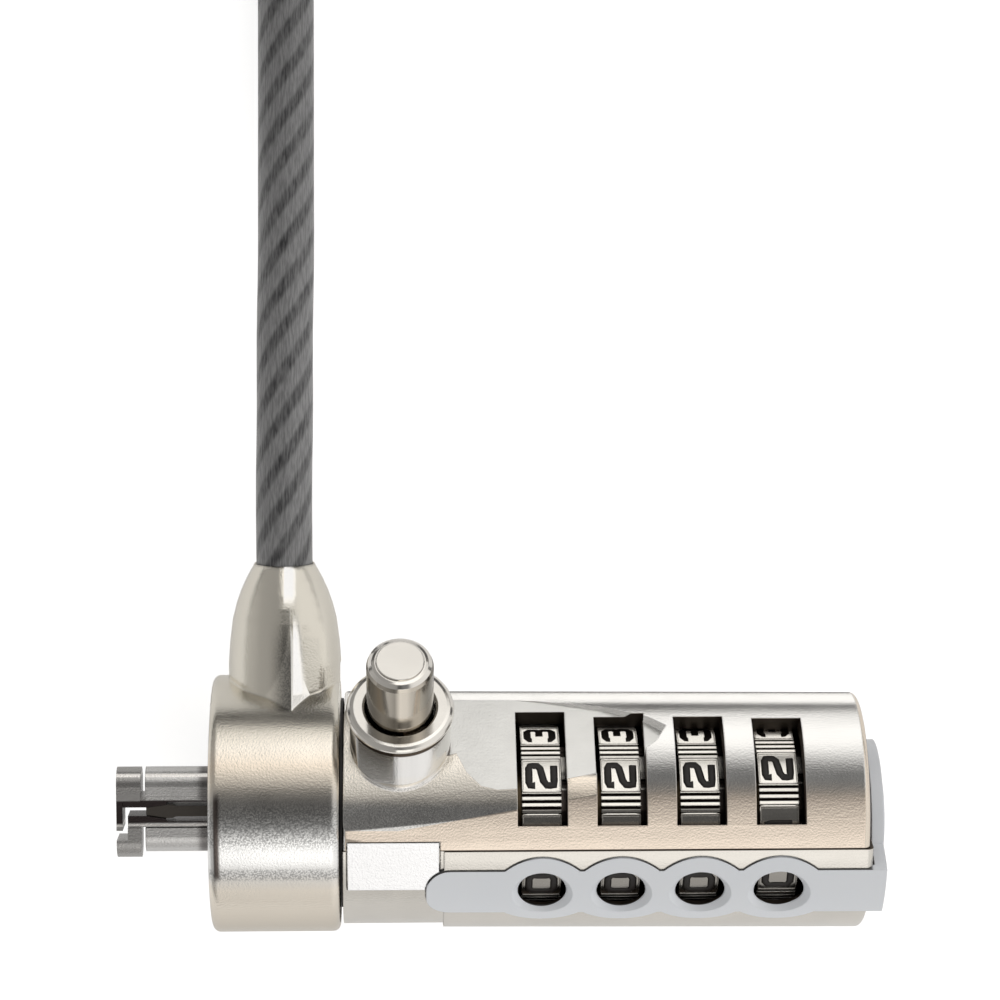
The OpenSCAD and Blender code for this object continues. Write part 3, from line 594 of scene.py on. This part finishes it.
def off_axis(skin):
    """How far a spot is from the barrel's drooping centreline, and the spot's x, y and z, in mm."""
    x, y, z = skin.spot()
    y = y + x * DROOP
    return y.hypot(z), x, y, z


def flat_mask(skin):
    """1 on the flat behind the button."""
    return plane_mask(skin, FLAT_SQUARE, FLAT_SQUARE * FLAT_OFF)


def above_crease(skin):
    """1 on the dished part between the tower, the flat and the crease."""
    reach, x, y, _ = off_axis(skin)
    crease = ((x - 16.6) * 0.18 + 0.47).larger(0.15)
    above = (y - crease).between(0.0, 0.1) * x.until(30.2, 30.6)
    back = y.between(4.2, 4.6)
    return 1.0 - (1.0 - above).larger(back) * reach.between(9.435, 9.45)


def end_wall(skin):
    """1 on the sloping wall where the flat ends, which gets a painted shade."""
    back_facing = skin.split(skin.place("Normal"))[0] * -1.0
    return back_facing.band(0.08, 0.16, 0.8, 0.9) * skin.spot()[1].between(3.6, 4.0)


def tower_foot_highlight(skin):
    """1 on a painted highlight: a narrow bright line in front of the tower's foot."""
    x, y, z = skin.spot()
    x = x - TOWER_X
    front = y * -TOWER_AXIS.z + z * TOWER_AXIS.y
    line = x.hypot(front).band(TOWER_R - 0.02, TOWER_R + 0.02, TOWER_R + 0.16, TOWER_R + 0.3)
    return line * front.between(2.2, 3.4)


def crowned(skin, normal):
    """The round outside is fuller towards the cable, and the dished part and the tower are hollow."""
    reach, x, y, _ = off_axis(skin)
    dish, flat, tower = above_crease(skin), flat_mask(skin), reach.between(9.5, 9.6)
    round_swell = y.between(-1.5, 3.2) * 15.5 + y.between(7.6, 9.0) * 6.0 + y.between(8.9, 9.46) * 25.0
    far_on = x.between(24.0, 28.0)
    dish_swell = 3.5 + y.until(1.2, 3.2) * (1.0 - far_on) * 5.0 - far_on * 5.0
    swell = round_swell * (1.0 - dish) + dish_swell * dish - tower_foot_highlight(skin) * 9.0
    swell = (swell * (1.0 - tower) - tower * 20.0) * (1.0 - flat) + flat * 6.3
    return skin.swayed(end_wall(skin), skin.turned(normal, swell), END_WALL_LEAN)


def key_evened(skin, normal):
    """The key's face is nearly flat."""
    return skin.swayed(skin.along(normal, leaning(-18.3)).between(0.9, 0.95), normal, leaning(-14))


def facing_out(skin):
    """How squarely a surface faces away from the barrel's centreline: 1 outwards, 0 sideways."""
    reach, _, y, z = off_axis(skin)
    outward = skin.node("ShaderNodeCombineXYZ", {}, {"Y": y, "Z": z})
    return skin.along(skin.place("Normal"), outward) / reach


def facing_ends(skin):
    """1 on a surface that faces the nose or the end cap."""
    return skin.split(skin.place("Normal"))[0].math("ABSOLUTE").between(0.9, 0.95)


def pocket_shade_and_seam(skin, seam=True):
    """1 where a shell gets painted shade in its pockets and windows; with seam, also painted shade under the
    bezel and the seam's dark joint.
    """
    pocket = facing_out(skin).until(0.3, 0.5) * off_axis(skin)[0].until(9.3, 9.45)
    flat_wall = skin.along(skin.place("Normal"), FLAT_SQUARE).near(0.0, 0.08, 0.15)
    dark = pocket * (1.0 - flat_wall * (1.0 - facing_ends(skin))) * (1.0 - end_wall(skin))
    if seam:
        seam_line = (skin.along(skin.place(), SEAM_SQUARE) / MM).near(0.0, 0.06, 0.1)
        under_bezel = (skin.along(skin.place(), TOWER_AXIS) / MM).between(12.2, 12.35)
        dark = dark.larger(seam_line).larger(under_bezel)
    return dark


def shell_nickel(name, colour, reshape=None, seam=True):
    """Nickel on a shell, with painted shade in its pockets and, where seam is set, a dark seam line, all a
    little duller.
    """
    skin = nickel(name, colour, 0.2, 1.5, reshape=reshape)
    dark = pocket_shade_and_seam(skin, seam)
    skin.feed(Base_Color=skin.blend(dark, skin.fed("Base Color"), POCKET_DARK),
              Roughness=skin.fed("Roughness") + dark * 0.3)
    return skin


upper_nickel = shell_nickel("crowned_nickel", CAST, crowned)
_, upper_x, upper_y, _ = off_axis(upper_nickel)
dish, flat = above_crease(upper_nickel), flat_mask(upper_nickel)
# Painted shade: the dish is darker and greyer near its crease, with dark specks there, and warm above it.
dish_light_and_shade = upper_nickel.blend(upper_y.between(1.7, 2.7), (0.72, 0.71, 0.69), (0.86, 0.81, 0.73))
dish_shade_specks = upper_nickel.noise(0.00011, 1.0).between(0.35, 0.65) * dish * upper_y.until(2.0, 3.0)
# The upper shell's painted light and shade: warm and cool tints, the dish, the tower foot's painted
# highlight, a warm tone at the dish's far end and the end wall's painted shade.
upper_tint = upper_nickel.layered(
    upper_nickel.blend(upper_y.between(2.6, 4.4), CAST_WARM, CAST_COOL),
    (dish, dish_light_and_shade),
    (dish_shade_specks * 0.4, (0.25, 0.25, 0.25)),
    (tower_foot_highlight(upper_nickel), (0.97, 0.96, 0.95)),
    (dish * upper_x.between(24.0, 28.0), (0.84, 0.75, 0.64)),
    (flat, (0.79, 0.785, 0.76)),
    (end_wall(upper_nickel), (0.6, 0.59, 0.57)),
    (pocket_shade_and_seam(upper_nickel), POCKET_DARK))
upper_nickel.feed(Base_Color=upper_tint, Roughness=upper_nickel.fed("Roughness") + flat * 0.12)
dress("upper_shell", upper_nickel)
# The lower shell's nickel is painted darker than the upper shell's, as painted shade.
dress("lower_shell", shell_nickel("lower_nickel", (0.74, 0.71, 0.66)))
dress("seam_key", shell_nickel("key_nickel", (0.93, 0.93, 0.94), key_evened, seam=False))


# ---------- Button and bezel ----------
# A turned and polished button slides in a thin bright ring on the tower. Its side carries a painted
# reflection of the room in upright streaks, from the dark nose's side to the dark end cap's side.

BRIGHT = (0.86, 0.83, 0.78)
BUTTON_WARM = (1.0, 0.92, 0.8)


def dished(skin, normal):
    """The button's top and the bezel's ring are a little hollow."""
    return skin.turned(normal, skin.along(normal, TOWER_AXIS).between(0.96, 0.985) * 2.5)


dress("button_bezel", nickel("bright_nickel", BRIGHT, 0.12, 0.2, 0.08, dished))
button_nickel = nickel("button_nickel", BRIGHT, 0.12, 0.2, 0.08, dished)
button_normal = button_nickel.place("Normal")
# Painted reflection: tones round the button's side, set by which way it faces along the barrel.
reflection_streaks = [(-1.0, 0.2), (-0.78, 0.3), (-0.5, 0.55), (-0.3, 0.45), (-0.16, 0.35), (0.0, 0.85), (0.2, 0.8),
           (0.34, 0.6), (0.6, 0.55), (0.8, 0.25), (1.0, 0.2)]
side_painted_reflection = button_nickel.ramp(button_nickel.split(button_normal)[0], -1, 1,
                               [(place, tuple(tone * c for c in BUTTON_WARM)) for place, tone in reflection_streaks])
button_end = button_nickel.along(button_normal, TOWER_AXIS).between(0.4, 0.6)
button_nickel.feed(Base_Color=button_nickel.blend(button_end, side_painted_reflection, button_nickel.fed("Base Color")))
dress("push_button", button_nickel)


# ---------- Nose ----------
# Two fixed prongs and two hooked claws of hardened steel, sintered and blackened. Two thin lines along them
# are painted highlights, and painted shade fills the gap between the claws and a band towards the collar.

nose_steel = nickel("nose_steel", (0.68, 0.67, 0.66), 0.26, 1.6, 0.06)
nose_x, nose_y, _ = nose_steel.spot()
hooks = nose_x.until(-5.5, -5.3)
# Painted shade between the claws and towards the collar, and painted highlights in two thin lines.
gap_shade = nose_y.near(0.0, 0.85, 1.0).larger(nose_x.between(-1.5, -0.8) * 0.7)
painted_highlights = nose_y.near(2.95, 0.08, 0.16).larger(nose_y.near(-1.08, 0.06, 0.12))
nose_steel.feed(Base_Color=nose_steel.layered(
    nose_steel.fed("Base Color"), (hooks, (0.42, 0.41, 0.4)), (gap_shade, (0.05, 0.04, 0.04)),
    (painted_highlights, (0.9, 0.87, 0.84))))
for part in ("nose_prongs", "claw_upper", "claw_lower"):
    dress(part, nose_steel)


# ---------- Inner metal ----------
# Steel pins, clips, screws and springs, a zinc core and brass code sleeves. Little of it shows, and what
# does is in the shade of the shells, so the zinc and the brass are painted dark as painted shade, and dull.

inner_steel = nickel("inner_steel", (0.5, 0.49, 0.47), 0.25, 0.5, 0.05)
for part in ("cable_ferrule", "eye_crimp_sleeve", "collar_clip", "claw_pins", "shell_screws",
             "spindle_spring", "reset_screw", "detent_comb"):
    dress(part, inner_steel)
# Painted shade: the zinc and the brass get dark colours because they sit in the shells' shade.
shaded_zinc = nickel("shaded_zinc", (0.1, 0.09, 0.08), 0.4, 1.0, 0.05)
for part in ("front_chassis", "rear_bushing", "wheel_dividers", "locking_spindle"):
    dress(part, shaded_zinc)
sleeve_brass = nickel("sleeve_brass", (0.2, 0.15, 0.09), 0.35, 0.5, 0.05)
for n in (1, 2, 3, 4):
    dress("code_sleeve_%d" % n, sleeve_brass)


# ---------- Return spring ----------
# A wound steel wire between the back plug and the spindle. The plug holds one end, and the spindle pushes
# the other; in the lock the spring shortens as the button is pressed, and here it is a fixed copy of the
# spindle_spring's mesh.

return_spring = placed("return_spring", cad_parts["spindle_spring"].data.copy())
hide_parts("spindle_spring")
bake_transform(return_spring)


# ---------- Washer ----------
# A thin black plastic ring that the collar turns against. Only its edge shows, as a dark line between
# the collar and the barrel.

washer_black = Finish("washer_black", (0.02, 0.02, 0.02), Roughness=0.5)
washer_black.feed(Roughness=washer_black.noise(0.0005) * 0.2 + 0.4)
dress("swivel_washer", washer_black)


# ---------- Window trim ----------
# A pale grey moulding in satin plastic, clipped over the seam. It frames the four round windows and turns
# round the barrel's back end as the end cap. The windows' walls are in shade.

TRIM_CLOUD = (0.9, 0.935, 0.99), (0.94, 0.965, 1.0)
TRIM_SHADE = (0.1, 0.1, 0.1)
CAP_X = 51.9
trim_grey = Finish("trim_grey", (0.93, 0.95, 1.0), Roughness=0.42)
trim_tint = trim_grey.blend(trim_grey.noise(0.004, 2.0), *TRIM_CLOUD)
trim_edge = trim_grey.node("ShaderNodeBevel", {"samples": 4}, {"Radius": 0.12 * MM})
trim_grey.feed(Normal=trim_grey.bump(trim_grey.noise(0.0003), 0.05, 0.0001, trim_edge))
trim_wall = facing_out(trim_grey).until(0.3, 0.45) * (1.0 - facing_ends(trim_grey))
trim_wall = trim_wall * trim_grey.spot()[0].until(CAP_X, CAP_X + 0.3)
trim_grey.feed(Base_Color=trim_grey.blend(trim_wall, trim_tint, TRIM_SHADE))
dress("dial_window_trim", trim_grey)


# ---------- Number wheels ----------
# Nickel-plated rings with ten flat panels. Each panel has a raised rim and a number sunk into it and
# filled with dark paint. The tops of the numbers point to the nose, and they rise towards the cable.

WHEEL_X, WHEEL_STEP, WHEEL_R = 26.1, 6.23, 7.35
WHEEL_Y, WHEEL_Z = -0.7, 0.7
WHEELS, NUMBERS = 4, 10
NUMBER_TURN, LAST_WHEEL_TURN = -33.8, 4.5
# The colour of painted shade in the wheels' grooves and on their level panels.
GROOVE_DARK = (0.05, 0.04, 0.035)


def lifted(skin, normal):
    """Steep panels, and the ribs beside the level ones, are a little hollow and send the light to the eye."""
    _, y, z = skin.split(normal)
    steep = y.lean(z)
    skin.feed(Metallic=1.0 - steep.between(16.0, 24.0) * 0.2)
    ribs = steep.band(16.0, 18.0, 26.0, 28.0)
    return skin.turned(normal, steep.between(48, 58) * (steep - 28.0) - ribs * (29.0 - steep))


wheel_nickel = nickel("wheel_nickel", (0.9, 0.87, 0.81), 0.2, 0.5, 0.1, lifted)
_, wheel_y, wheel_z = wheel_nickel.spot()
world_normal = wheel_nickel.node("ShaderNodeNewGeometry", {}, {}, "Normal")
_, steep_y, steep_z = wheel_nickel.split(world_normal)
steep = steep_y.lean(steep_z)
# Painted shade in the grooves between panels, lighter where the panels are steep, and on the level panels
# that face up.
lit = steep.band(44.0, 48.0, 66.0, 70.0)
groove_shade = (wheel_y - WHEEL_Y).hypot(wheel_z - WHEEL_Z).until(7.05, 7.25) * (1.0 - lit * 0.6)
wheel_nickel.feed(Base_Color=wheel_nickel.layered(
    wheel_nickel.fed("Base Color"), (steep.until(15.5, 17.0) * 0.6, GROOVE_DARK), (groove_shade, GROOVE_DARK)))
number_paint = Finish("number_paint", (0.02, 0.016, 0.014), Roughness=0.5)
number_paint.feed(Roughness=number_paint.noise(0.0003) * 0.3 + 0.35)

NUMBER_STROKE, NUMBER_DEPTH = 0.3, 0.16
RIM_STROKE, RIM_DEPTH = 0.09, 0.6
STROKE_STEP = 0.35

# The strokes of each number, in mm from its middle: to its right and up
W, H = 0.86, 0.99
number_strokes = {
    0: [[(-0.5, H), (0.5, H), (W, 0.75), (W, -0.75), (0.5, -H), (-0.5, -H), (-W, -0.75), (-W, 0.75),
         (-0.5, H)]],
    1: [[(-0.45, 0.72), (0.0, H), (0.0, -H)]],
    2: [[(-W, 0.5), (-W, 0.9), (-0.6, H), (0.6, H), (W, 0.88), (W, 0.32), (0.62, 0.1), (-0.5, -0.16),
         (-W, -0.42), (-W, -H), (W, -H)]],
    3: [[(-W, 0.62), (-W, 0.8), (-0.55, H), (0.52, H), (W, 0.78), (W, 0.28), (0.55, 0.04), (-0.3, 0.04)],
        [(0.55, 0.04), (W, -0.22), (W, -0.78), (0.52, -H), (-0.55, -H), (-W, -0.8), (-W, -0.62)]],
    4: [[(0.4, -H), (0.4, H), (-W, -0.3), (-W, -0.45), (W, -0.45)]],
    5: [[(W, H), (-W, H), (-W, 0.15), (0.5, 0.15), (W, -0.12), (W, -0.78), (0.5, -H), (-0.5, -H),
         (-W, -0.75)]],
    6: [[(W, 0.7), (0.5, H), (-0.5, H), (-W, 0.75), (-W, -0.75), (-0.5, -H), (0.5, -H), (W, -0.75), (W, -0.2),
         (0.5, 0.08), (-W, 0.08)]],
    7: [[(-W, 0.7), (-W, H), (W, H), (W, 0.75), (-0.1, -H)]],
    8: [[(-0.5, H), (0.5, H), (W, 0.8), (W, 0.3), (0.5, 0.04), (-0.5, 0.04), (-W, 0.3), (-W, 0.8), (-0.5, H)],
        [(-0.5, 0.04), (-W, -0.3), (-W, -0.8), (-0.5, -H), (0.5, -H), (W, -0.8), (W, -0.3), (0.5, 0.04)]],
    9: [[(-W, -0.7), (-0.5, -H), (0.5, -H), (W, -0.75), (W, 0.75), (0.5, H), (-0.5, H), (-W, 0.75),
         (-W, 0.25), (-0.5, -0.04), (W, -0.04)]],
}
PANEL_RIM = [[(-1.33, 1.5), (1.33, 1.5), (1.38, 1.44), (1.38, -1.44), (1.33, -1.5), (-1.33, -1.5),
              (-1.38, -1.44), (-1.38, 1.44), (-1.33, 1.5)]]


def ridge(name, strokes, radius, flatness):
    """Flat ridges along strokes in mm, as a mesh, with points close enough to be bent round a wheel."""
    curve = bpy.data.curves.new(name, "CURVE")
    curve.dimensions = "3D"
    curve.bevel_depth = radius
    curve.bevel_resolution = 1
    curve.use_fill_caps = True
    for stroke in strokes:
        spots = [stroke[0]]
        for a, b in zip(stroke, stroke[1:]):
            steps = max(1, round(math.dist(a, b) / STROKE_STEP))
            spots += [(a[0] + (b[0] - a[0]) * k / steps, a[1] + (b[1] - a[1]) * k / steps)
                      for k in range(1, steps + 1)]
        spline = curve.splines.new("POLY")
        spline.use_cyclic_u = stroke[0] == stroke[-1]
        if spline.use_cyclic_u:
            spots.pop()
        spline.points.add(len(spots) - 1)
        for knot, spot in zip(spline.points, spots):
            knot.co = (*spot, 0.0, 1.0)
    mesh = mesh_of(curve)
    mesh.transform(Matrix.Scale(flatness, 4, (0, 0, 1)))
    return mesh


def round_wheel(name, wheel, marks, finish):
    """Bends one flat mesh for each number round a wheel and rides it on the wheel's dial."""
    form = bmesh.new()
    for number, mark in enumerate(marks):
        first = len(form.verts)
        form.from_mesh(mark)
        form.verts.ensure_lookup_table()
        lean = NUMBER_TURN + 360 / NUMBERS * number
        if wheel == WHEELS - 1:
            lean += LAST_WHEEL_TURN
        for spot in form.verts[first:]:
            right, up, high = spot.co
            around = math.radians(lean) + right / WHEEL_R
            far = WHEEL_R + high
            spot.co = Vector((WHEEL_X + WHEEL_STEP * wheel - up, WHEEL_Y + far * math.sin(around),
                              WHEEL_Z + far * math.cos(around))) * MM
    bmesh.ops.recalc_face_normals(form, faces=form.faces)
    mesh = bpy.data.meshes.new(name)
    form.to_mesh(mesh)
    form.free()
    mesh.materials.append(finish.owner)
    piece = placed(name, mesh)
    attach(piece, "dial_%d" % (wheel + 1))
    return piece


numbers = [ridge("number", number_strokes[n], NUMBER_STROKE, NUMBER_DEPTH) for n in range(NUMBERS)]
rims = [ridge("rim", PANEL_RIM, RIM_STROKE, RIM_DEPTH)] * NUMBERS
for wheel in range(WHEELS):
    dress("number_wheel_%d" % (wheel + 1), wheel_nickel)
    round_wheel("dial_%d_numbers" % (wheel + 1), wheel, numbers, number_paint)
    round_wheel("dial_%d_rims" % (wheel + 1), wheel, rims, wheel_nickel)
